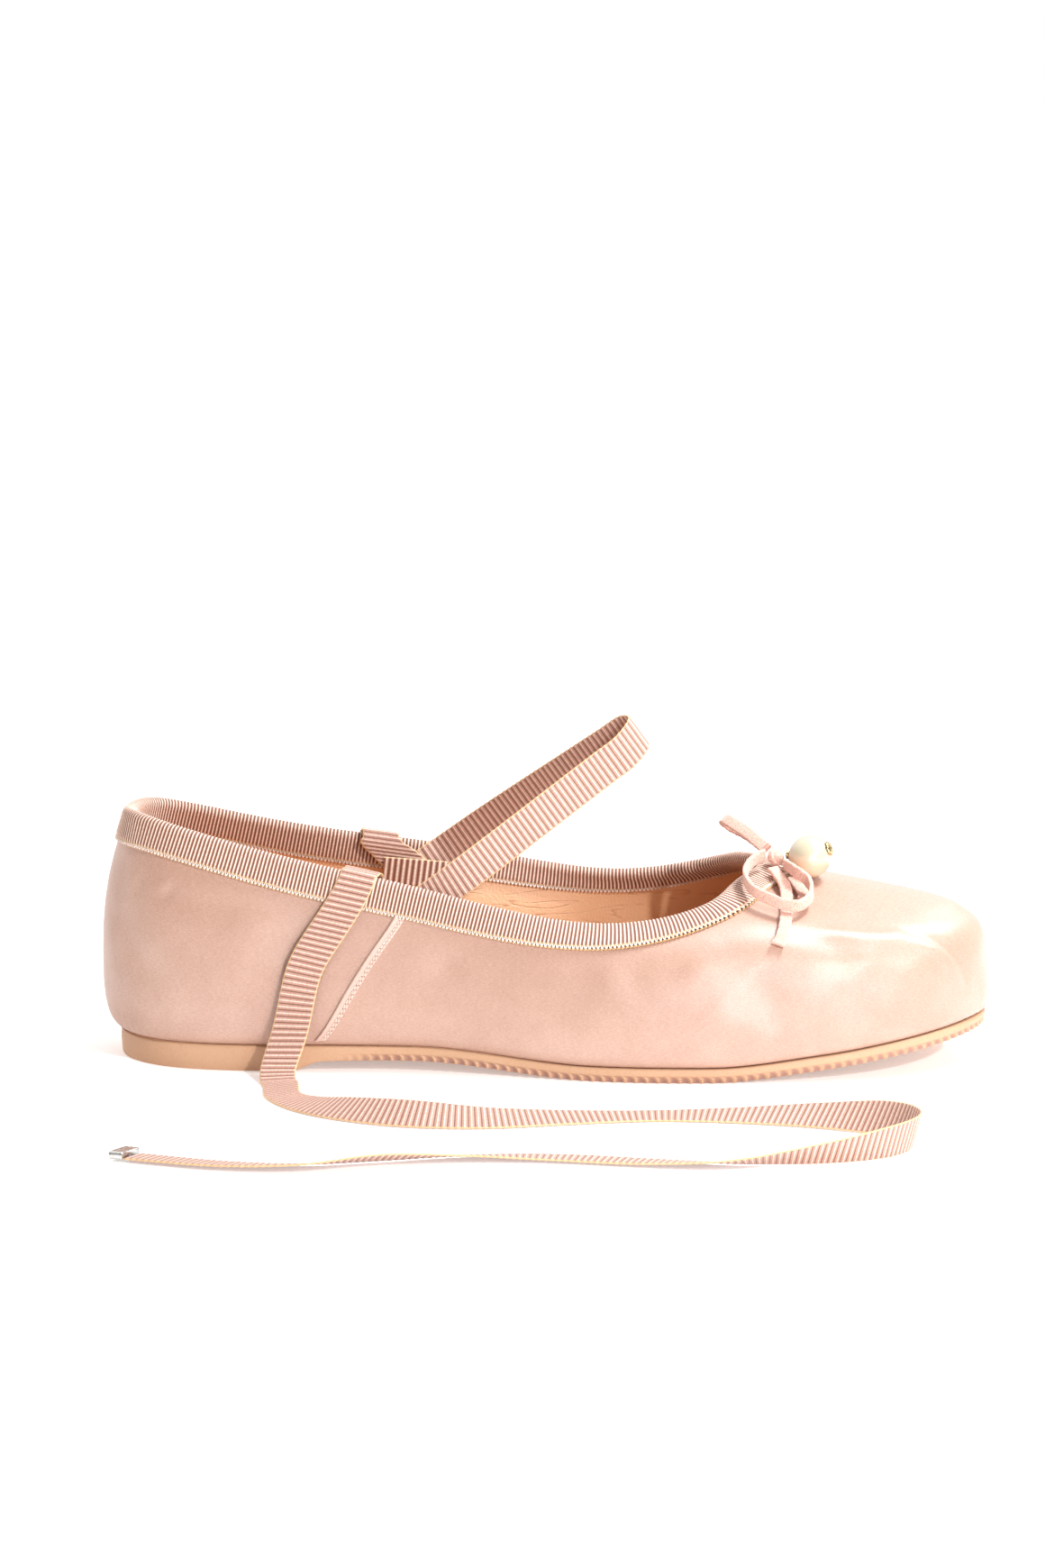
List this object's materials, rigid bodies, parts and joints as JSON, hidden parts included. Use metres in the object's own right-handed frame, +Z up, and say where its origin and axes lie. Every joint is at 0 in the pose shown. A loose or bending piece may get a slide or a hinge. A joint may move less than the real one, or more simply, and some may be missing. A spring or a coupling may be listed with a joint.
{
  "type": "satin ballet flat",
  "caption": "Right satin ballet flat with a ribbed thin sole, grosgrain collar, instep strap, loose ankle ties, and a lace bow with a pearl.",
  "frame": {"origin": "on the floor under the middle of the shoe's own length and width, the ties and bow left out", "axes": "+X towards the toe, +Y towards the inner side of the foot, +Z up; the sole stands on z = 0"},
  "size_m": [0.2499, 0.2941, 0.096],
  "materials": {
    "pink_satin": "pale pink satin with a soft sheen over a tan leather lining",
    "tan_rubber": "smooth tan rubber, matt",
    "tan_leather": "fine-grained tan leather",
    "rose_grosgrain": "ribbed dusty rose grosgrain ribbon, matt",
    "pale_pink_lace": "pale pink flat lace with a short nap",
    "cream_pearl": "cream imitation pearl, glossy with a soft lustre",
    "silver_metal": "polished silver-coloured metal"
  },
  "bodies": {
    "root": {"upper": "pink_satin", "side_seam_outer": "pink_satin", "side_seam_inner": "pink_satin", "outsole": "tan_rubber", "insole": "tan_leather", "collar_binding": "rose_grosgrain", "keeper_outer": "rose_grosgrain", "keeper_inner": "rose_grosgrain", "instep_strap": "rose_grosgrain", "ankle_tie_outer": "rose_grosgrain", "ankle_tie_inner": "rose_grosgrain", "tie_tip_outer": "silver_metal", "tie_tip_inner": "silver_metal", "bow_knot": "pale_pink_lace", "bow_loop_outer": "pale_pink_lace", "bow_loop_inner": "pale_pink_lace", "bow_tail_outer": "pale_pink_lace", "bow_tail_inner": "pale_pink_lace", "pearl": "cream_pearl", "pearl_cap": "silver_metal", "pearl_pin": "silver_metal"}
  },
  "joints": []
}
